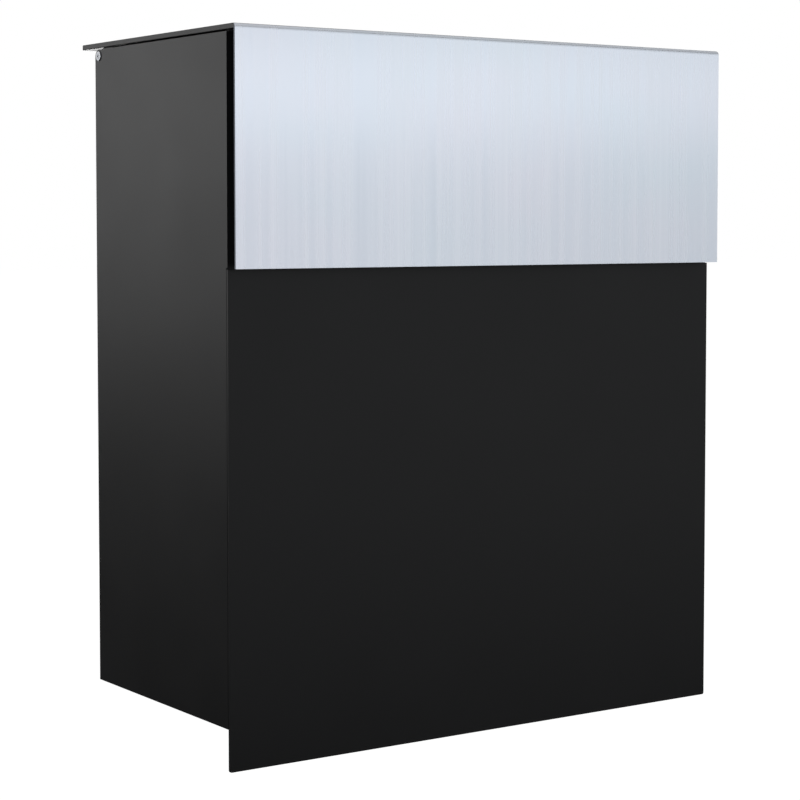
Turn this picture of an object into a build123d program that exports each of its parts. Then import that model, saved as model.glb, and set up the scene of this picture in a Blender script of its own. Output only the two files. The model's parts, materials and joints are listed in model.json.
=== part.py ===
"""Wall-mounted parcel drop box: a sheet-steel body, a hinged lid with a stainless flap hanging in front
of the drop mouth, a lower door that tilts forward on two hinges under the floor, and a cam lock.

Frame, in millimetres: +Z up, -Y out of the front, +X to the right seen from the front. The origin is the
centre of the four wall fixings, on the wall plane, halfway up the body.
"""

import os

from build123d import *

# Driving dimensions
BODY_W = 400.0  # over the side panels
BODY_D = 180.0  # side panel depth
BODY_H = 437.5  # side panel height
SHEET = 1.5  # folded sheet
WALL_GAP = 25.0  # side panels' rear edges to the wall, room for the lid's overhang to swing
POST = 12.0  # leg of the angle posts in the corners
PANEL_CORNER = 5.2  # side panels' top rear corners, which the lid clears as it turns
FIT = 0.02  # radial gap of a fixed shank in its hole
RUN = 0.05  # radial gap of a shank that turns in its hole
THROUGH = 1.0  # how far a cut runs past the sheet it goes through

REAR_POST_TOP = 425.0  # short of the top, to leave room for the lid's ears
BACK_TOP = 436.5
BACK_SIDE_GAP = 0.2
NOTCH_X = 182.0  # notches in the back panel's top corners, for the lid's ears
NOTCH_Z = 423.0
UPSTAND = 15.0  # floor's fold against each side panel
UPSTAND_GAP = 1.0  # end of the fold to the post
DRAIN_X = 170.0
DRAIN_IN = 30.0  # drain holes in from the floor's front and rear edges
DRAIN_R = 3.0

RIVET_R = 1.6
RIVET_HEAD_R = 3.2
RIVET_HEAD_H = 1.1
RIVET_DOME = 0.9
RIVET_TAIL_R = 2.3
RIVET_TAIL_L = 2.0
FASCIA_RIVETS = (302.0, 420.0)  # heights above the body's bottom
BACK_RIVETS = (40.0, 218.5, 395.0)
BACK_RIVET_IN = 5.0  # from the rear post's free edge

DOOR_GAP = 0.5  # body to the door's back face
DOOR_LIP = 27.3  # door below the body
DOOR_TOP = 289.7  # door's top edge above the body's bottom
DOOR_CORNER = 1.5
CHANNEL_D = 15.5  # door's top channel, front to back
CHANNEL_LIP = 13.0
CHANNEL_DOWN = 0.2  # channel's top below the door's top edge
CHANNEL_BEND = 1.4
CHANNEL_HALF = 178.0
STIFFENER_BOTTOM = 22.0
STIFFENER_GAP = 4.0  # stiffener's top to the channel's lip
STIFFENER_X = 150.0
STIFFENER_W = 20.0
STIFFENER_D = 12.0
BUMPER_R = 4.0
BUMPERS = (24.0, 270.0)  # heights above the body's bottom

MOUTH_SILL = 345.0  # bottom of the drop mouth above the body's bottom
STILE = 18.0  # fascia either side of the mouth
FASCIA_BOTTOM = 291.0
FRAME_TOP = 437.5  # fascia and front posts; the rubber pads stand on them
MOUTH_CORNER = 5.0
PAD_X = (187.0, 198.0)

LID_T = 3.5
LID_GAP = 1.0  # side panels' top edges to the lid
LID_OVERHANG = 20.5  # behind the body
FLAP_OUT = 12.5  # flap's front face in front of the side panels
FLAP_BOTTOM = 290.3
FLAP_SIDE = 0.3  # lid and flap past the side panels
FLAP_BEND = 3.0  # outside radius of the flap's top bend
FLANGE_L = 24.0  # flap's flange under the lid plate
FLANGE_HALF = 180.0  # half the flange's width, set in from the lid pads
CAP_W = 1.5  # lid plate's front corners, which close the ends of the flap's bend
LAND = 0.7  # flat behind the flap's bend, up to the lid plate's edge
LID_CORNER = 2.0
LID_EDGE = 0.5  # rounding of the plate's outer edges, above and below
FLANGE_RIVETS = (-160.0, -80.0, 0.0, 80.0, 160.0)
FLANGE_RIVET_IN = 5.0
EAR_RIVET_IN = 7.0  # from the side panel's inner face
EAR_RIVETS = (6.2, 13.2)  # in front of the pivot
LID_RIVET_TAIL_R = 2.4
LID_RIVET_TAIL_L = 1.4

PIVOT_BACK = 5.5  # pivot in front of the side panels' rear edges
PIVOT_DOWN = 4.5  # pivot below the side panels' top edges
PIVOT_R = 2.0
EAR_R = 3.7
EAR_GAP = 0.5  # ear to the side panel
EAR_FOOT = (3.0, 17.0)  # foot in front of the pivot, near and far ends
EAR_FOOT_W = 14.0
EAR_WEB = 4.0
EAR_STEP = 0.1  # ear's web below the top of its eye
SCREW_GAP = 0.1  # pivot screw's head to the side panel
SCREW_HEAD_R = 3.4
SCREW_HEAD_H = 0.6
SCREW_DOME = 0.35
CROSS_L = 3.4
CROSS_W = 0.8
CROSS_D = 0.8
SCREW_END = 6.5  # pivot screw's end inside the side panel's inner face
NUT_R = 3.5
NUT_T = 3.2

HINGE_DROP = 5.0  # hinge axis below the body, and behind the door's back face
KNUCKLE_R = 4.0
KNUCKLE_L = 14.0
KNUCKLE_GAP = 0.4
HINGE_X = 150.0
LEAF_START = 4.6  # leaf behind the hinge axis, near and far edges
LEAF_END = 24.0
KNUCKLE_WEB = 6.0
LUG_DROP = 14.0  # lug's plate below the hinge axis
PIN_END = 1.5
PIN_HEAD_R = 3.2
PIN_HEAD_H = 1.5
PIN_HEAD_GAP = 0.2
PIN_DOME = 1.0
BORE_HALF = 40.0  # half the length of a cut through a hinge's knuckles

LOCK_Z = 318.0
LOCK_R = 9.0
LOCK_BACK = 17.3  # cam behind the side panels' front edges, clear behind the channel's lip
LOCK_FIT = 0.15  # radial gap of the barrel in the fascia and the nut
BEZEL_R = 12.5
BEZEL_H = 2.0
BEZEL_EDGE = 1.2
BARREL_SHORT = 0.3  # barrel's end in front of the cam
LOCK_NUT_R = 12.5
LOCK_NUT_T = 4.0
PLUG_R = 5.5
PLUG_PROUD = 2.3
KEYWAY_L = 8.4
KEYWAY_W = 1.2
KEYWAY_D = 8.3
SQUARE = 6.0  # plug's drive through the cam
CAM_L = 36.0
CAM_W = 12.0
CAM_T = 2.0
CAM_EYE_R = 7.5
CAM_SCREW_R = 1.5
CAM_SCREW_L = 7.0
CAM_SCREW_HEAD_R = 4.5
CAM_SCREW_HEAD_H = 2.0
CAM_SCREW_DOME = 0.8
CAM_SCREW_SLOT_D = 0.8
CAM_SCREW_SLOT_W = 1.0

FIXING_X = 300.0
FIXING_Z = 300.0
FIXING_R = 3.25
SPACER_R = 10.0
SPACER_EDGE = 0.8

# Places that follow from them
X_OUT = BODY_W / 2
X_IN = X_OUT - SHEET
Y_REAR = -WALL_GAP
Y_FRONT = -WALL_GAP - BODY_D
Y_DOOR = Y_FRONT - DOOR_GAP  # door's back face
Y_FLAP = Y_FRONT - FLAP_OUT
Z_LOW = -BODY_H / 2
Z_HIGH = BODY_H / 2
Z_LID = Z_HIGH + LID_GAP
PIVOT_Y = Y_REAR - PIVOT_BACK
PIVOT_Z = Z_HIGH - PIVOT_DOWN
HINGE_Y = Y_DOOR + HINGE_DROP
HINGE_Z = Z_LOW - HINGE_DROP
SIDES = {"left": -1, "right": 1}
FIXING_LEVELS = {"lower": -FIXING_Z / 2, "upper": FIXING_Z / 2}


def z(height):
    """A height above the body's bottom, in the frame."""
    return Z_LOW + height


def block(x, y, z_range):
    """A box between two values on each axis, in either order."""
    (x0, x1), (y0, y1), (z0, z1) = sorted(x), sorted(y), sorted(z_range)
    return Pos((x0 + x1) / 2, (y0 + y1) / 2, (z0 + z1) / 2) * Box(x1 - x0, y1 - y0, z1 - z0)


def rod_x(x, y, height, radius):
    x0, x1 = sorted(x)
    return Pos((x0 + x1) / 2, y, height) * Rot(0, 90, 0) * Cylinder(radius, x1 - x0)


def rod_y(x, y, height, radius):
    y0, y1 = sorted(y)
    return Pos(x, (y0 + y1) / 2, height) * Rot(90, 0, 0) * Cylinder(radius, y1 - y0)


def rod_z(x, y, heights, radius):
    z0, z1 = sorted(heights)
    return Pos(x, y, (z0 + z1) / 2) * Cylinder(radius, z1 - z0)


def round_edges(shape, axis, radius, choose):
    return fillet(shape.edges().filter_by(axis).filter_by(choose), radius)


def save(name, *solids):
    shape = solids[0] if len(solids) == 1 else Compound(children=list(solids))
    export_step(shape, f"parts/{name}.step")


def side_panel(s):
    """A flat panel whose top rear corner is rounded, so that the lid clears it as it turns."""
    panel = block((s * X_IN, s * X_OUT), (Y_FRONT, Y_REAR), (Z_LOW, Z_HIGH))
    panel = round_edges(panel, Axis.X, PANEL_CORNER, lambda e: e.center().Y > Y_REAR - 1 and e.center().Z > 0)
    return panel - rod_x((s * (X_IN - THROUGH), s * (X_OUT + THROUGH)), PIVOT_Y, PIVOT_Z, PIVOT_R + RUN)


def front_post(s):
    """An angle in the front corner, drilled for the fascia's rivets."""
    heights = (z(SHEET), z(FRAME_TOP))
    front = block((s * (X_IN - POST), s * X_IN), (Y_FRONT, Y_FRONT + SHEET), heights)
    side = block((s * (X_IN - SHEET), s * X_IN), (Y_FRONT, Y_FRONT + POST), heights)
    through = (Y_FRONT - THROUGH, Y_FRONT + SHEET + THROUGH)
    return front + side - [rod_y(s * x, through, h, RIVET_R + FIT) for x, h in fascia_rivet_places()]


def rear_post(s):
    """An angle in the rear corner. It stops short of the top to leave room for the lid's ear."""
    heights = (z(SHEET), z(REAR_POST_TOP))
    rear = block((s * (X_IN - POST), s * X_IN), (Y_REAR - SHEET, Y_REAR), heights)
    side = block((s * (X_IN - SHEET), s * X_IN), (Y_REAR - POST, Y_REAR), heights)
    through = (Y_REAR - SHEET - THROUGH, Y_REAR + THROUGH)
    return rear + side - [rod_y(s * x, through, h, RIVET_R + FIT) for x, h in back_rivet_places()]


def fascia_rivet_places():
    return [(X_OUT - STILE / 2, z(h)) for h in FASCIA_RIVETS]


def back_rivet_places():
    return [(X_IN - POST + BACK_RIVET_IN, z(h)) for h in BACK_RIVETS]


def back_panel():
    """A flat panel in front of the rear posts, notched at the top corners for the lid's ears."""
    y = (Y_REAR - 2 * SHEET, Y_REAR - SHEET)
    edge = X_IN - SHEET - BACK_SIDE_GAP
    panel = block((-edge, edge), y, (z(SHEET), z(BACK_TOP)))
    through = (y[0] - THROUGH, y[1] + THROUGH)
    for s in SIDES.values():
        panel -= block((s * NOTCH_X, s * X_OUT), through, (z(NOTCH_Z), z(BODY_H)))
        panel -= [rod_y(s * x, through, h, RIVET_R + FIT) for x, h in back_rivet_places()]
        panel -= [rod_y(s * FIXING_X / 2, through, h, FIXING_R) for h in FIXING_LEVELS.values()]
    return panel


def floor_panel():
    """A flat floor with an upstand against each side panel, between the posts, and four drain holes."""
    panel = block((-X_IN, X_IN), (Y_FRONT, Y_REAR), (z(0), z(SHEET)))
    for s in SIDES.values():
        length = (Y_FRONT + POST + UPSTAND_GAP, Y_REAR - POST - UPSTAND_GAP)
        panel += block((s * (X_IN - SHEET), s * X_IN), length, (z(0), z(UPSTAND)))
        drains = (Y_FRONT + DRAIN_IN, Y_REAR - DRAIN_IN)
        panel -= [rod_z(s * DRAIN_X, y, (z(-THROUGH), z(SHEET + THROUGH)), DRAIN_R) for y in drains]
    return panel


def front_fascia():
    """The fixed sheet behind the flap: a stile each side of the drop mouth, and the lock's rail below it."""
    y = (Y_FRONT - SHEET, Y_FRONT)
    through = (y[0] - THROUGH, y[1] + THROUGH)
    sheet = block((-X_OUT, X_OUT), y, (z(FASCIA_BOTTOM), z(FRAME_TOP)))
    mouth_top = z(FRAME_TOP + MOUTH_CORNER + THROUGH)
    mouth = block((-X_OUT + STILE, X_OUT - STILE), through, (z(MOUTH_SILL), mouth_top))
    mouth = round_edges(mouth, Axis.Y, MOUTH_CORNER, lambda e: e.center().Z < z(MOUTH_SILL) + 1)
    sheet -= mouth
    sheet -= rod_y(0, through, z(LOCK_Z), LOCK_R + LOCK_FIT)
    for s in SIDES.values():
        sheet -= [rod_y(s * x, through, h, RIVET_R + FIT) for x, h in fascia_rivet_places()]
    return sheet


def rivet_y(x, height, head_y, tail_y):
    """A blind rivet along Y: a domed head whose flat is at head_y, a shank, and a tail past tail_y."""
    way = 1 if tail_y > head_y else -1
    head = rod_y(x, (head_y - way * RIVET_HEAD_H, head_y), height, RIVET_HEAD_R)
    rim = head.edges().filter_by(GeomType.CIRCLE).filter_by(lambda e: abs(e.center().Y - head_y) > 0.5)
    shank = rod_y(x, (head_y, tail_y), height, RIVET_R)
    tail = rod_y(x, (tail_y, tail_y + way * RIVET_TAIL_L), height, RIVET_TAIL_R)
    return fillet(rim, RIVET_DOME) + shank + tail


def wall_spacer(x, height):
    """A tube that holds the back panel off the wall, bored for a wall screw."""
    tube = rod_y(x, (Y_REAR - SHEET, 0), height, SPACER_R)
    tube = chamfer(tube.edges().filter_by(GeomType.CIRCLE), SPACER_EDGE)
    return tube - rod_y(x, (Y_REAR - SHEET - THROUGH, THROUGH), height, FIXING_R)


def hinge_spans():
    """The knuckles of one hinge along X, outer fixed ones first and the door's last."""
    step = KNUCKLE_L + KNUCKLE_GAP
    return [(-step - KNUCKLE_L / 2, -step + KNUCKLE_L / 2), (step - KNUCKLE_L / 2, step + KNUCKLE_L / 2),
            (-KNUCKLE_L / 2, KNUCKLE_L / 2)]


def hinge_bracket(s):
    """A leaf under the floor with a knuckle at each end."""
    cx = s * HINGE_X
    spans = hinge_spans()
    leaf_y = (HINGE_Y + LEAF_START, HINGE_Y + LEAF_END)
    leaf = block((cx + spans[0][0], cx + spans[1][1]), leaf_y, (z(-SHEET), z(0)))
    for x0, x1 in spans[:2]:
        leaf += block((cx + x0, cx + x1), (HINGE_Y, HINGE_Y + KNUCKLE_WEB), (HINGE_Z, z(0)))
        leaf += rod_x((cx + x0, cx + x1), HINGE_Y, HINGE_Z, KNUCKLE_R)
    return leaf - rod_x((cx - BORE_HALF, cx + BORE_HALF), HINGE_Y, HINGE_Z, PIVOT_R + FIT)


def hinge_pin(s):
    cx = s * HINGE_X
    half = KNUCKLE_L * 1.5 + KNUCKLE_GAP
    seat = cx + half + PIN_HEAD_GAP
    pin = rod_x((cx - half - PIN_END, seat), HINGE_Y, HINGE_Z, PIVOT_R)
    head = rod_x((seat, seat + PIN_HEAD_H), HINGE_Y, HINGE_Z, PIN_HEAD_R)
    rim = head.edges().filter_by(GeomType.CIRCLE).filter_by(lambda e: e.center().X > seat + 1)
    return fillet(rim, PIN_DOME) + pin


def door_lug(s):
    """The door's knuckle, on a block behind the door's back face."""
    cx = s * HINGE_X
    x0, x1 = hinge_spans()[2]
    lug = block((cx + x0, cx + x1), (Y_DOOR, HINGE_Y), (HINGE_Z - KNUCKLE_R, HINGE_Z + KNUCKLE_R))
    lug += block((cx + x0, cx + x1), (Y_DOOR, Y_DOOR + SHEET), (HINGE_Z - LUG_DROP, HINGE_Z + KNUCKLE_R))
    lug += rod_x((cx + x0, cx + x1), HINGE_Y, HINGE_Z, KNUCKLE_R)
    return lug - rod_x((cx - BORE_HALF, cx + BORE_HALF), HINGE_Y, HINGE_Z, PIVOT_R + RUN)


def door_panel():
    """A flat sheet over the full width, reaching below the body as a finger lip."""
    panel = block((-X_OUT, X_OUT), (Y_DOOR - SHEET, Y_DOOR), (z(-DOOR_LIP), z(DOOR_TOP)))
    return round_edges(panel, Axis.Y, DOOR_CORNER, lambda e: e.center().Z < 0)


def door_top_channel():
    """A folded channel along the door's top: the lock's cam turns down behind its rear lip."""
    x = (-CHANNEL_HALF, CHANNEL_HALF)
    top = z(DOOR_TOP - CHANNEL_DOWN)
    shelf = block(x, (Y_DOOR, Y_DOOR + CHANNEL_D), (top - SHEET, top))
    lip = block(x, (Y_DOOR + CHANNEL_D - SHEET, Y_DOOR + CHANNEL_D), (top - CHANNEL_LIP, top))
    seat = block(x, (Y_DOOR, Y_DOOR + SHEET), (top - CHANNEL_LIP, top))
    channel = shelf + lip + seat
    corner = lambda e: e.center().Y > Y_DOOR + CHANNEL_D - 0.1 and e.center().Z > top - 0.1
    return round_edges(channel, Axis.X, CHANNEL_BEND, corner)


def door_stiffener(s):
    """An upright angle on the door's back."""
    heights = (z(STIFFENER_BOTTOM), z(DOOR_TOP - CHANNEL_LIP - STIFFENER_GAP))
    seat = block((s * STIFFENER_X, s * (STIFFENER_X + STIFFENER_W)), (Y_DOOR, Y_DOOR + SHEET), heights)
    return seat + block((s * STIFFENER_X, s * (STIFFENER_X + SHEET)), (Y_DOOR, Y_DOOR + STIFFENER_D), heights)


def door_bumpers():
    """Rubber discs between the front posts and the door."""
    x = X_IN - POST / 2
    return [rod_y(s * x, (Y_DOOR, Y_FRONT), z(h), BUMPER_R) for s in SIDES.values() for h in BUMPERS]


def lid_pads():
    """Rubber blocks on top of the fascia and front posts, which the lid rests on."""
    y = (Y_FRONT - SHEET, Y_FRONT + SHEET)
    return [block([s * x for x in PAD_X], y, (z(FRAME_TOP), Z_LID)) for s in SIDES.values()]


def lid_plate():
    """A flat plate from the flap's bend to the rear overhang. Its front corners cap the bend's ends."""
    x = X_OUT + FLAP_SIDE
    plate = block((-x, x), (Y_FLAP + FLAP_BEND + LAND, Y_REAR + LID_OVERHANG), (Z_LID, Z_LID + LID_T))
    plate = round_edges(plate, Axis.Z, LID_CORNER, lambda e: e.center().Y > Y_REAR)
    for s in SIDES.values():
        plate += flap_outline() & end_cap(s)
    for level in (Z_LID + LID_T, Z_LID):
        plate = fillet([e for e in plate.edges() if on_lid_rim(e.center(), level)], LID_EDGE)
    through = (Z_LID - THROUGH, Z_LID + LID_T + THROUGH)
    return plate - [rod_z(x, y, through, RIVET_R + FIT) for x, y in lid_rivet_places()]


def on_lid_rim(point, level):
    """True on the plate's side and rear edges at a level."""
    return abs(point.Z - level) < FIT and (abs(point.X) > X_OUT - 1 or point.Y > Y_REAR)


def end_cap(s):
    """The space behind the flap's front face at one end of its bend, which the lid plate fills."""
    x = X_OUT + FLAP_SIDE
    y = (Y_FLAP + SHEET, Y_FLAP + FLAP_BEND + LAND)
    return block((s * (x - CAP_W), s * x), y, (Z_LID, Z_LID + LID_T))


def lid_rivet_places():
    return ear_rivet_places(-1) + ear_rivet_places(1) + flange_rivet_places()


def ear_rivet_places(s):
    return [(s * (X_IN - EAR_RIVET_IN), PIVOT_Y - d) for d in EAR_RIVETS]


def flange_rivet_places():
    return [(x, Y_FLAP + FLANGE_L - FLANGE_RIVET_IN) for x in FLANGE_RIVETS]


def flush_rivet(x, y):
    """A rivet with its head flush in the lid and its tail under the flange."""
    top = Z_LID + LID_T
    under = Z_LID - SHEET
    tail = rod_z(x, y, (under, under - LID_RIVET_TAIL_L), LID_RIVET_TAIL_R)
    return rod_z(x, y, (top, under), RIVET_R) + tail


def flap_outline():
    """The flap's section over its full width, with no holes and no end caps cut out."""
    top = Z_LID + LID_T
    back = Y_FLAP + FLAP_BEND + LAND
    under = Z_LID - SHEET
    low = z(FLAP_BOTTOM)
    points = [(back, top), (back, Z_LID), (Y_FLAP + FLANGE_L, Z_LID), (Y_FLAP + FLANGE_L, under),
              (Y_FLAP + SHEET, under), (Y_FLAP + SHEET, low), (Y_FLAP, low), (Y_FLAP, top - FLAP_BEND)]
    outline = Polyline(*points)
    bend = RadiusArc((Y_FLAP, top - FLAP_BEND), (Y_FLAP + FLAP_BEND, top), FLAP_BEND)
    closing = Line((Y_FLAP + FLAP_BEND, top), (back, top))
    profile = make_face(outline + bend + closing)
    return extrude(Plane.YZ * profile, X_OUT + FLAP_SIDE, both=True)


def steel_flap():
    """A hanging sheet, bent at the top and joggled to a flange under the lid plate."""
    flange_y = (Y_FLAP + SHEET, Y_FLAP + FLANGE_L + THROUGH)
    flap = flap_outline()
    for s in SIDES.values():
        flap -= end_cap(s)
        flap -= block((s * FLANGE_HALF, s * (X_OUT + FLAP_SIDE + THROUGH)), flange_y, (Z_LID - SHEET, Z_LID))
    through = (Z_LID - SHEET - THROUGH, Z_LID + THROUGH)
    return flap - [rod_z(x, y, through, RIVET_R + FIT) for x, y in flange_rivet_places()]


def lid_ear(s):
    """A small angle under the lid: its upright leg turns on the pivot screw inside the side panel."""
    outer = X_IN - EAR_GAP
    x = (s * (outer - SHEET), s * outer)
    near, far = (PIVOT_Y - d for d in EAR_FOOT)
    upright = rod_x(x, PIVOT_Y, PIVOT_Z, EAR_R)
    upright += block(x, (far, PIVOT_Y), (PIVOT_Z - EAR_R, PIVOT_Z))
    upright += block(x, (far, near), (PIVOT_Z, Z_LID))
    upright += block(x, (PIVOT_Y - EAR_WEB, PIVOT_Y), (PIVOT_Z, PIVOT_Z + EAR_R - EAR_STEP))
    foot = block((s * (outer - EAR_FOOT_W), s * outer), (far, near), (Z_LID - SHEET, Z_LID))
    through = (s * (outer - SHEET - THROUGH), s * (outer + THROUGH))
    ear = upright + foot - rod_x(through, PIVOT_Y, PIVOT_Z, PIVOT_R + FIT)
    holes = (Z_LID - SHEET - THROUGH, Z_LID + THROUGH)
    return ear - [rod_z(px, py, holes, RIVET_R + FIT) for px, py in ear_rivet_places(s)]


def pivot_screw(s):
    """A low round head with a cross recess outside the side panel, and a shank through to the nut."""
    seat = X_OUT + SCREW_GAP
    face = seat + SCREW_HEAD_H
    head = rod_x((s * seat, s * face), PIVOT_Y, PIVOT_Z, SCREW_HEAD_R)
    rim = head.edges().filter_by(GeomType.CIRCLE).filter_by(lambda e: abs(e.center().X) > seat + SCREW_GAP)
    head = fillet(rim, SCREW_DOME)
    for turn in (0, 90):
        head -= Pos(s * face, PIVOT_Y, PIVOT_Z) * Rot(turn, 0, 0) * Box(2 * CROSS_D, CROSS_L, CROSS_W)
    return head + rod_x((s * seat, s * (X_IN - SCREW_END)), PIVOT_Y, PIVOT_Z, PIVOT_R)


def pivot_nut(s):
    outer = X_IN - EAR_GAP - SHEET
    nut = extrude(Plane.YZ * RegularPolygon(NUT_R, 6, major_radius=False), NUT_T)
    nut = Pos(min(s * outer, s * (outer - NUT_T)), PIVOT_Y, PIVOT_Z) * nut
    through = (s * (outer - NUT_T - THROUGH), s * (outer + THROUGH))
    return nut - rod_x(through, PIVOT_Y, PIVOT_Z, PIVOT_R + FIT)


def lock_housing():
    """A round bezel in front of the fascia and a barrel through it."""
    face = Y_FRONT - SHEET
    bezel = rod_y(0, (face - BEZEL_H, face), z(LOCK_Z), BEZEL_R)
    rim = bezel.edges().filter_by(GeomType.CIRCLE).filter_by(lambda e: e.center().Y < face - 1)
    back = Y_FRONT + LOCK_BACK
    body = fillet(rim, BEZEL_EDGE) + rod_y(0, (face, back - BARREL_SHORT), z(LOCK_Z), LOCK_R)
    return body - rod_y(0, (face - BEZEL_H - THROUGH, back), z(LOCK_Z), PLUG_R + RUN)


def lock_nut():
    nut = extrude(Plane.XZ * RegularPolygon(LOCK_NUT_R, 6, major_radius=False), LOCK_NUT_T)
    nut = Pos(0, Y_FRONT + LOCK_NUT_T, z(LOCK_Z)) * nut
    through = (Y_FRONT - THROUGH, Y_FRONT + LOCK_NUT_T + THROUGH)
    return nut - rod_y(0, through, z(LOCK_Z), LOCK_R + LOCK_FIT)


def lock_plug():
    """The turning plug, with a keyway in front and a square that drives the cam behind."""
    face = Y_FRONT - SHEET
    back = Y_FRONT + LOCK_BACK
    front = face - PLUG_PROUD
    plug = rod_y(0, (front, back), z(LOCK_Z), PLUG_R)
    plug -= Pos(0, front, z(LOCK_Z)) * Box(KEYWAY_L, 2 * KEYWAY_D, KEYWAY_W)
    plug += Pos(0, back + CAM_T / 2, z(LOCK_Z)) * Box(SQUARE, CAM_T, SQUARE)
    return plug - rod_y(0, (back + CAM_T - CAM_SCREW_L - THROUGH, back + CAM_T + THROUGH), z(LOCK_Z),
                        CAM_SCREW_R + FIT)


def lock_cam():
    """A flat tongue, unlocked at rest. A quarter turn brings it down behind the door's channel."""
    y = (Y_FRONT + LOCK_BACK, Y_FRONT + LOCK_BACK + CAM_T)
    cam = rod_y(0, y, z(LOCK_Z), CAM_EYE_R)
    cam += block((0, CAM_L - CAM_W / 2), y, (z(LOCK_Z) - CAM_W / 2, z(LOCK_Z) + CAM_W / 2))
    cam += rod_y(CAM_L - CAM_W / 2, y, z(LOCK_Z), CAM_W / 2)
    half = SQUARE / 2 + FIT
    return cam - block((-half, half), (y[0] - THROUGH, y[1] + THROUGH), (z(LOCK_Z) - half, z(LOCK_Z) + half))


def cam_screw():
    back = Y_FRONT + LOCK_BACK + CAM_T
    face = back + CAM_SCREW_HEAD_H
    head = rod_y(0, (back, face), z(LOCK_Z), CAM_SCREW_HEAD_R)
    rim = head.edges().filter_by(GeomType.CIRCLE).filter_by(lambda e: e.center().Y > back + 1)
    slot = Pos(0, face, z(LOCK_Z)) * Box(2 * CAM_SCREW_HEAD_R, 2 * CAM_SCREW_SLOT_D, CAM_SCREW_SLOT_W)
    return fillet(rim, CAM_SCREW_DOME) - slot + rod_y(0, (back - CAM_SCREW_L, back), z(LOCK_Z), CAM_SCREW_R)


def main():
    os.makedirs("parts", exist_ok=True)
    for name, s in SIDES.items():
        save(f"{name}_side_panel", side_panel(s))
        save(f"front_post_{name}", front_post(s))
        save(f"rear_post_{name}", rear_post(s))
        save(f"hinge_bracket_{name}", hinge_bracket(s))
        save(f"hinge_pin_{name}", hinge_pin(s))
        save(f"door_lug_{name}", door_lug(s))
        save(f"door_stiffener_{name}", door_stiffener(s))
        save(f"lid_ear_{name}", lid_ear(s))
        save(f"pivot_screw_{name}", pivot_screw(s))
        save(f"pivot_nut_{name}", pivot_nut(s))
        for level, height in FIXING_LEVELS.items():
            save(f"wall_spacer_{level}_{name}", wall_spacer(s * FIXING_X / 2, height))
    save("back_panel", back_panel())
    save("floor_panel", floor_panel())
    save("front_fascia", front_fascia())
    sides = list(SIDES.values())
    save("fascia_rivets", *[rivet_y(s * x, h, Y_FRONT - SHEET, Y_FRONT + SHEET)
                            for s in sides for x, h in fascia_rivet_places()])
    save("back_rivets", *[rivet_y(s * x, h, Y_REAR, Y_REAR - 2 * SHEET)
                          for s in sides for x, h in back_rivet_places()])
    save("door_bumpers", *door_bumpers())
    save("lid_pads", *lid_pads())
    save("lid_plate", lid_plate())
    save("steel_flap", steel_flap())
    save("lid_rivets", *[flush_rivet(x, y) for x, y in lid_rivet_places()])
    save("door_panel", door_panel())
    save("door_top_channel", door_top_channel())
    save("lock_housing", lock_housing())
    save("lock_nut", lock_nut())
    save("lock_plug", lock_plug())
    save("lock_cam", lock_cam())
    save("cam_screw", cam_screw())


main()
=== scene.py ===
"""Parcel drop box: black powder-coated steel with a brushed steel flap, on a plain pale floor."""

import json
import math

import bmesh
import bpy
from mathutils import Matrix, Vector


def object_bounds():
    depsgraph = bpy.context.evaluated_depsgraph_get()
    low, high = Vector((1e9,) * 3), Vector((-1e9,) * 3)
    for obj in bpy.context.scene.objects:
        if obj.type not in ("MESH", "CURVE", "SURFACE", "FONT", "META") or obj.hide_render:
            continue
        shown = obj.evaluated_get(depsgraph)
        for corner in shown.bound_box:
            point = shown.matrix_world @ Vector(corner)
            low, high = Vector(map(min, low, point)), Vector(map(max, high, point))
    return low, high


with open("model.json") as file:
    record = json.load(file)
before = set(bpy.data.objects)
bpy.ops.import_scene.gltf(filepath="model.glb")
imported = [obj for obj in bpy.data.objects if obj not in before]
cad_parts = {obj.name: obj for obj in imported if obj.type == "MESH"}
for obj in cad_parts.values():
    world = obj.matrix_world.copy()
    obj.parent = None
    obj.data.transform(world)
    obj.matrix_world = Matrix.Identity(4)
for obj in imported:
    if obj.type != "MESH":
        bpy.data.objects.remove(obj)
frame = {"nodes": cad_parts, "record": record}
CAD_LOW, CAD_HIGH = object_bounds()
NODES = frame["nodes"]

# Camera, worked out from the object's own frame, in metres and degrees
CAMERA_AT = (-0.8612, -1.3653, 0.10185)
CAMERA_YAW = 34.327
CAMERA_PITCH = -3.103
LENS_MM = 96.167
SHIFT_Y = -0.08

SENSOR_MM = 36.0
CLIP_END = 100

FLOOR_DROP = 0.45  # floor below the object, which hangs on a wall
FLOOR_HALF = 30
FLOOR_CELLS = 8
FLOOR_GLOW = 1.08  # strength of the glow that makes the floor white where it is seen
FLOOR_GLOW_SHARE = 0.93
FLOOR_MIRRORED = (0.05, 0.05, 0.05, 1)

SKY_LIT = (0.93, 0.96, 1.0, 1)
SKY_LIT_STRENGTH = 0.07
SKY_SEEN = (1, 1, 1, 1)
SKY_SEEN_STRENGTH = 1.0

WHITE = (1, 1, 1)
COOL_WHITE = (0.95, 0.975, 1.0)

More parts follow.
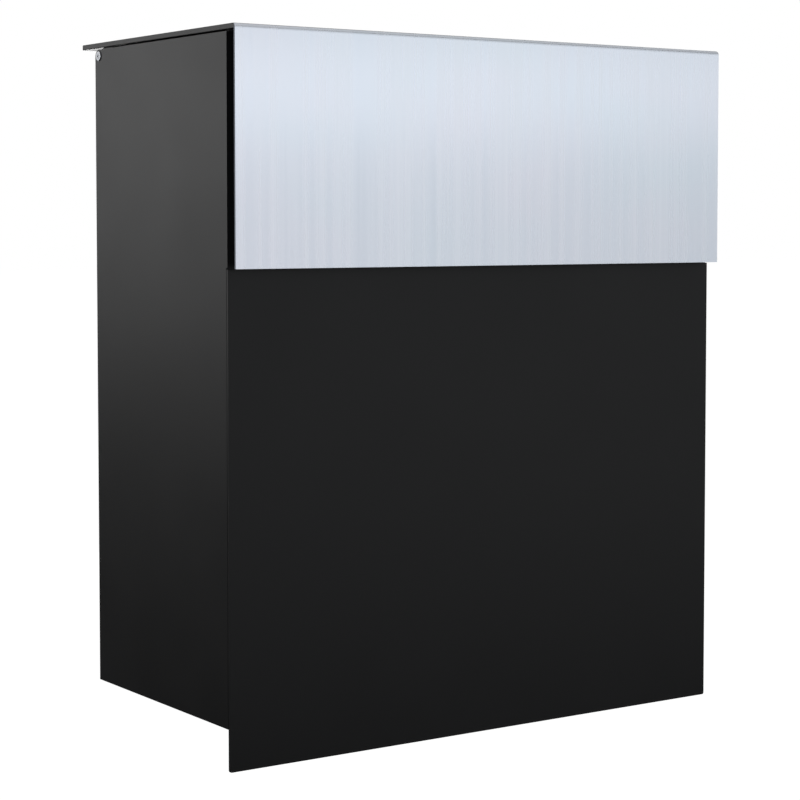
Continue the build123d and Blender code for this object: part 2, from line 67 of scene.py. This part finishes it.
# Name, place, point aimed at, width and height, watts, colour. Lengths are in metres.
# The low ones stay below the lid, so that its top doesn't mirror them in views from above.
SOFTBOXES = (
    ("front", (1.2, -2.9, 0.75), (0, -0.2, 0.1), (4.2, 2.6), 29, COOL_WHITE),
    ("front_strip", (1.3, -2.8, 0.38), (0.0, -0.2, 0.17), (2.6, 0.20), 0.7, COOL_WHITE),
    ("front_low", (0.8, -2.4, -0.45), (0, -0.2, -0.2), (3.0, 0.4), 2.6, WHITE),
    ("left_front", (-2.5, -2.5, -0.2), (0, -0.2, -0.1), (3.0, 0.8), 24, COOL_WHITE),
    ("left_rear", (-2.6, 2.2, 1.05), (-0.2, -0.1, 0.1), (3.6, 2.4), 62, WHITE),
    ("top", (1.2, -0.5, 2.4), (1.2, -0.5, 0), (3.0, 4.2), 24, WHITE),
    ("right", (3.2, 0.8, -0.22), (0.2, 0.0, -0.22), (1.9, 0.8), 30, WHITE),
    ("rear", (0.65, 3.3, -0.22), (0.65, 0, -0.22), (1.7, 0.8), 26, WHITE),
)

# Hair-fine bevels on the sheets' edges, in metres, for the materials that get one
EDGE = {"black_powder_coat": 0.00025, "brushed_stainless": 0.00018}
EDGE_SEGMENTS = 2
EDGE_ANGLE = 50

# Dark colour for the sheet's cut edges, which face along X or straight down: painted shade that
# dulls their highlight; the higher roughness there is real
CUT_EDGE_PAINTED_SHADE = (0.16, 0.17, 0.19, 1)
CUT_EDGE_ROUGHNESS = 0.6

# The part of a noise's range that carries most of its values
NOISE_LOW = 0.3
NOISE_HIGH = 0.7

# Sockets of a Mix node set to colours
COLOUR_A = 6
COLOUR_B = 7
COLOUR_RESULT = 2


# ---------------------------------------------------------------- node helpers

def new_material(name):
    mat = bpy.data.materials.new(name)
    mat.use_nodes = True
    tree = mat.node_tree
    return mat, tree, tree.nodes["Principled BSDF"]


def add(tree, kind, **values):
    node = tree.nodes.new(kind)
    for key, value in values.items():
        setattr(node, key, value)
    return node


def place(tree, scale=(1, 1, 1)):
    """Object coordinates, which are the frame's metres, stretched by scale."""
    coords = add(tree, "ShaderNodeTexCoord")
    mapping = add(tree, "ShaderNodeMapping")
    mapping.inputs["Scale"].default_value = scale
    tree.links.new(coords.outputs["Object"], mapping.inputs["Vector"])
    return mapping.outputs["Vector"]


def noise(tree, vector, scale, detail=2.0, rough=0.5):
    node = add(tree, "ShaderNodeTexNoise")
    node.inputs["Scale"].default_value = scale
    node.inputs["Detail"].default_value = detail
    node.inputs["Roughness"].default_value = rough
    tree.links.new(vector, node.inputs["Vector"])
    return node.outputs["Fac"]


def spread(tree, value, low, high, from_low=NOISE_LOW, from_high=NOISE_HIGH):
    """Maps a value, such as a noise's, to a range."""
    node = add(tree, "ShaderNodeMapRange")
    node.inputs["From Min"].default_value = from_low
    node.inputs["From Max"].default_value = from_high
    node.inputs["To Min"].default_value = low
    node.inputs["To Max"].default_value = high
    tree.links.new(value, node.inputs["Value"])
    return node.outputs["Result"]


def two_tone(tree, value, dark, light):
    ramp = add(tree, "ShaderNodeValToRGB")
    first, last = ramp.color_ramp.elements
    first.position, last.position = NOISE_LOW, NOISE_HIGH
    first.color, last.color = (*dark, 1), (*light, 1)
    tree.links.new(value, ramp.inputs["Fac"])
    return ramp.outputs["Color"]


def layer(height, strength, metres):
    """One bump layer for bumps()."""
    return height, strength, metres


def bumps(tree, shader, *layers):
    """Chains bump layers into the shader's normal."""
    normal = None
    for height, strength, distance in layers:
        bump = add(tree, "ShaderNodeBump")
        bump.inputs["Strength"].default_value = strength
        bump.inputs["Distance"].default_value = distance
        tree.links.new(height, bump.inputs["Height"])
        if normal:
            tree.links.new(normal, bump.inputs["Normal"])
        normal = bump.outputs["Normal"]
    tree.links.new(normal, shader.inputs["Normal"])


def mix_shaders(tree, share, first, second):
    """The second shader where share is 1, the first where it is 0."""
    mix = add(tree, "ShaderNodeMixShader")
    for value, socket in zip((share, first, second), mix.inputs):
        tree.links.new(value, socket)
    return mix.outputs[0]


# ---------------------------------------------------------------- materials

def powder_coat():
    """Fine satin black powder: a faint orange peel and cloudy gloss."""
    mat, tree, shader = new_material("black_powder_coat")
    cloud = noise(tree, place(tree), scale=14, detail=3)
    peel = noise(tree, place(tree), scale=900, detail=2, rough=0.6)
    grain = noise(tree, place(tree), scale=2600, detail=1)
    base = two_tone(tree, cloud, dark=(0.0072, 0.0072, 0.0075), light=(0.0086, 0.0086, 0.0089))
    tree.links.new(base, shader.inputs["Base Color"])
    tree.links.new(spread(tree, cloud, low=0.37, high=0.41), shader.inputs["Roughness"])
    shader.inputs["Specular IOR Level"].default_value = 0.22
    bumps(tree, shader,
          layer(peel, strength=0.25, metres=0.00006),
          layer(grain, strength=0.2, metres=0.00002))
    return mat


def brushed_stainless():
    """Vertical brushing: long fine lines and wider soft streaks."""
    mat, tree, shader = new_material("brushed_stainless")
    fine = noise(tree, place(tree, (1400, 9, 9)), scale=1, detail=3, rough=0.65)
    wide = noise(tree, place(tree, (150, 3.5, 1.6)), scale=1, detail=3, rough=0.5)
    cloud = noise(tree, place(tree, (7, 7, 12)), scale=1, detail=2)
    lines = add(tree, "ShaderNodeMix", data_type="FLOAT")
    lines.inputs["Factor"].default_value = 0.88
    tree.links.new(fine, lines.inputs["A"])
    tree.links.new(wide, lines.inputs["B"])
    streak = lines.outputs["Result"]
    shade = two_tone(tree, streak, dark=(0.70, 0.735, 0.795), light=(0.80, 0.825, 0.875))
    tint = two_tone(tree, cloud, dark=(0.955, 0.99, 1.0), light=(1.0, 0.985, 1.0))
    mixed = add(tree, "ShaderNodeMix", data_type="RGBA", blend_type="MULTIPLY")
    mixed.inputs["Factor"].default_value = 1.0
    tree.links.new(shade, mixed.inputs[COLOUR_A])
    tree.links.new(tint, mixed.inputs[COLOUR_B])
    # Cut edges get a darkened colour, which is painted shade dulling their highlight, and a
    # rougher finish, which is real
    cut = sheared(tree)
    edge_painted_shade = add(tree, "ShaderNodeMix", data_type="RGBA")
    tree.links.new(cut, edge_painted_shade.inputs["Factor"])
    tree.links.new(mixed.outputs[COLOUR_RESULT], edge_painted_shade.inputs[COLOUR_A])
    edge_painted_shade.inputs[COLOUR_B].default_value = CUT_EDGE_PAINTED_SHADE
    tree.links.new(edge_painted_shade.outputs[COLOUR_RESULT], shader.inputs["Base Color"])
    rough = add(tree, "ShaderNodeMix", data_type="FLOAT")
    tree.links.new(cut, rough.inputs["Factor"])
    tree.links.new(spread(tree, streak, low=0.24, high=0.30), rough.inputs["A"])
    rough.inputs["B"].default_value = CUT_EDGE_ROUGHNESS
    tree.links.new(rough.outputs["Result"], shader.inputs["Roughness"])
    shader.inputs["Metallic"].default_value = 1.0
    shader.inputs["Anisotropic"].default_value = 0.9
    bumps(tree, shader,
          layer(fine, strength=0.05, metres=0.00003),
          layer(wide, strength=0.10, metres=0.00004))
    return mat


def sheared(tree):
    """1 on the sheet's cut edges, which face along X or straight down, and 0 on its faces."""
    normal = add(tree, "ShaderNodeTexCoord").outputs["Normal"]
    axes = add(tree, "ShaderNodeSeparateXYZ")
    tree.links.new(normal, axes.inputs[0])
    sideways = add(tree, "ShaderNodeMath", operation="ABSOLUTE")
    tree.links.new(axes.outputs["X"], sideways.inputs[0])
    down = add(tree, "ShaderNodeMath", operation="MULTIPLY")
    down.inputs[1].default_value = -1.0
    tree.links.new(axes.outputs["Z"], down.inputs[0])
    either = add(tree, "ShaderNodeMath", operation="MAXIMUM")
    tree.links.new(sideways.outputs[0], either.inputs[0])
    tree.links.new(down.outputs[0], either.inputs[1])
    return spread(tree, either.outputs[0], low=0.0, high=1.0, from_low=0.6, from_high=0.9)


def plated(name, dark, light, rough):
    """A small plated steel piece, a little cloudy, with fine turning marks."""
    mat, tree, shader = new_material(name)
    cloud = noise(tree, place(tree), scale=260, detail=3)
    marks = noise(tree, place(tree), scale=2200, detail=2)
    tree.links.new(two_tone(tree, cloud, dark, light), shader.inputs["Base Color"])
    tree.links.new(spread(tree, cloud, rough, rough + 0.12), shader.inputs["Roughness"])
    shader.inputs["Metallic"].default_value = 1.0
    bumps(tree, shader, layer(marks, strength=0.2, metres=0.00002))
    return mat


def rubber():
    """Matt black rubber with a fine speckle."""
    mat, tree, shader = new_material("black_rubber")
    speck = noise(tree, place(tree), scale=1500, detail=3)
    base = two_tone(tree, speck, dark=(0.010, 0.010, 0.010), light=(0.018, 0.018, 0.018))
    tree.links.new(base, shader.inputs["Base Color"])
    tree.links.new(spread(tree, speck, low=0.72, high=0.85), shader.inputs["Roughness"])
    bumps(tree, shader, layer(speck, strength=0.4, metres=0.00005))
    return mat


def nylon():
    """Moulded dark grey nylon."""
    mat, tree, shader = new_material("grey_nylon")
    cloud = noise(tree, place(tree), scale=90, detail=3)
    grain = noise(tree, place(tree), scale=1800, detail=2)
    base = two_tone(tree, cloud, dark=(0.085, 0.085, 0.090), light=(0.11, 0.11, 0.115))
    tree.links.new(base, shader.inputs["Base Color"])
    tree.links.new(spread(tree, grain, low=0.5, high=0.62), shader.inputs["Roughness"])
    bumps(tree, shader, layer(grain, strength=0.35, metres=0.00004))
    return mat


MATERIALS = {
    "black_powder_coat": powder_coat(),
    "brushed_stainless": brushed_stainless(),
    "zinc_plated_steel": plated(
        "zinc_plated_steel", dark=(0.30, 0.31, 0.33), light=(0.42, 0.43, 0.45), rough=0.34),
    "nickel_plated_lock": plated(
        "nickel_plated_lock", dark=(0.60, 0.58, 0.54), light=(0.70, 0.68, 0.64), rough=0.16),
    "black_rubber": rubber(),
    "grey_nylon": nylon(),
}


def soften(obj, width):
    """Breaks a sheet's sharp edges by a hair, inside its own outline."""
    bevel = obj.modifiers.new("edge", "BEVEL")
    bevel.width = width
    bevel.segments = EDGE_SEGMENTS
    bevel.limit_method = "ANGLE"
    bevel.angle_limit = math.radians(EDGE_ANGLE)
    bevel.harden_normals = True


for part in frame["record"]["subparts"]:
    obj, slot = NODES[part["node"]], part["material_slot"]
    obj.data.materials.clear()
    obj.data.materials.append(MATERIALS[slot])
    if slot in EDGE:
        soften(obj, EDGE[slot])


# ---------------------------------------------------------------- stage, lights, camera

def pale_floor():
    """A plain floor: white where it is seen, dim where it is mirrored."""
    mesh = bpy.data.meshes.new("floor")
    build = bmesh.new()
    bmesh.ops.create_grid(build, x_segments=FLOOR_CELLS, y_segments=FLOOR_CELLS, size=FLOOR_HALF)
    build.to_mesh(mesh)
    build.free()
    floor = bpy.data.objects.new("floor", mesh)
    floor.location = (0, 0, CAD_LOW.z - FLOOR_DROP)
    bpy.context.scene.collection.objects.link(floor)
    mat, tree, shader = new_material("pale_floor")
    cloud = noise(tree, place(tree), scale=1.5, detail=2)
    base = two_tone(tree, cloud, dark=(0.80, 0.80, 0.80), light=(0.84, 0.84, 0.84))
    tree.links.new(base, shader.inputs["Base Color"])
    shader.inputs["Roughness"].default_value = 0.9
    shader.inputs["Specular IOR Level"].default_value = 0.0
    glow = add(tree, "ShaderNodeEmission")
    glow.inputs["Strength"].default_value = FLOOR_GLOW
    seen = add(tree, "ShaderNodeLightPath").outputs["Is Camera Ray"]
    share = spread(tree, seen, low=0.0, high=FLOOR_GLOW_SHARE, from_low=0.0, from_high=1.0)
    mirrored = add(tree, "ShaderNodeBsdfDiffuse")
    mirrored.inputs["Color"].default_value = FLOOR_MIRRORED
    plain = mix_shaders(tree, seen, mirrored.outputs[0], shader.outputs[0])
    surface = mix_shaders(tree, share, plain, glow.outputs[0])
    tree.links.new(surface, tree.nodes["Material Output"].inputs["Surface"])
    mesh.materials.append(mat)


def studio():
    """A pale surround: bright where it is seen, dim where it lights and is mirrored."""
    world = bpy.data.worlds.new("studio")
    bpy.context.scene.world = world
    world.use_nodes = True
    tree = world.node_tree
    lit = tree.nodes["Background"]
    lit.inputs["Color"].default_value = SKY_LIT
    lit.inputs["Strength"].default_value = SKY_LIT_STRENGTH
    bright = add(tree, "ShaderNodeBackground")
    bright.inputs["Color"].default_value = SKY_SEEN
    bright.inputs["Strength"].default_value = SKY_SEEN_STRENGTH
    seen = add(tree, "ShaderNodeLightPath").outputs["Is Camera Ray"]
    surface = mix_shaders(tree, seen, lit.outputs[0], bright.outputs[0])
    tree.links.new(surface, tree.nodes["World Output"].inputs["Surface"])


def softbox(name, at, towards, size, watts, colour):
    """A soft rectangular light, out of the camera's sight."""
    data = bpy.data.lights.new(name, "AREA")
    data.shape = "RECTANGLE"
    data.size, data.size_y = size
    data.energy = watts
    data.color = colour
    light = bpy.data.objects.new(name, data)
    light.location = at
    light.visible_camera = False
    light.rotation_euler = (Vector(towards) - Vector(at)).to_track_quat("-Z", "Y").to_euler()
    bpy.context.scene.collection.objects.link(light)


def camera():
    data = bpy.data.cameras.new("camera")
    data.lens = LENS_MM
    data.sensor_width = SENSOR_MM
    data.shift_y = SHIFT_Y
    data.clip_end = CLIP_END
    cam = bpy.data.objects.new("camera", data)
    cam.location = CAMERA_AT
    cam.rotation_euler = (math.radians(90 + CAMERA_PITCH), 0, math.radians(-CAMERA_YAW))
    bpy.context.scene.collection.objects.link(cam)
    bpy.context.scene.camera = cam


pale_floor()
studio()
for box in SOFTBOXES:
    softbox(*box)
camera()
bpy.context.scene.view_settings.view_transform = "Standard"
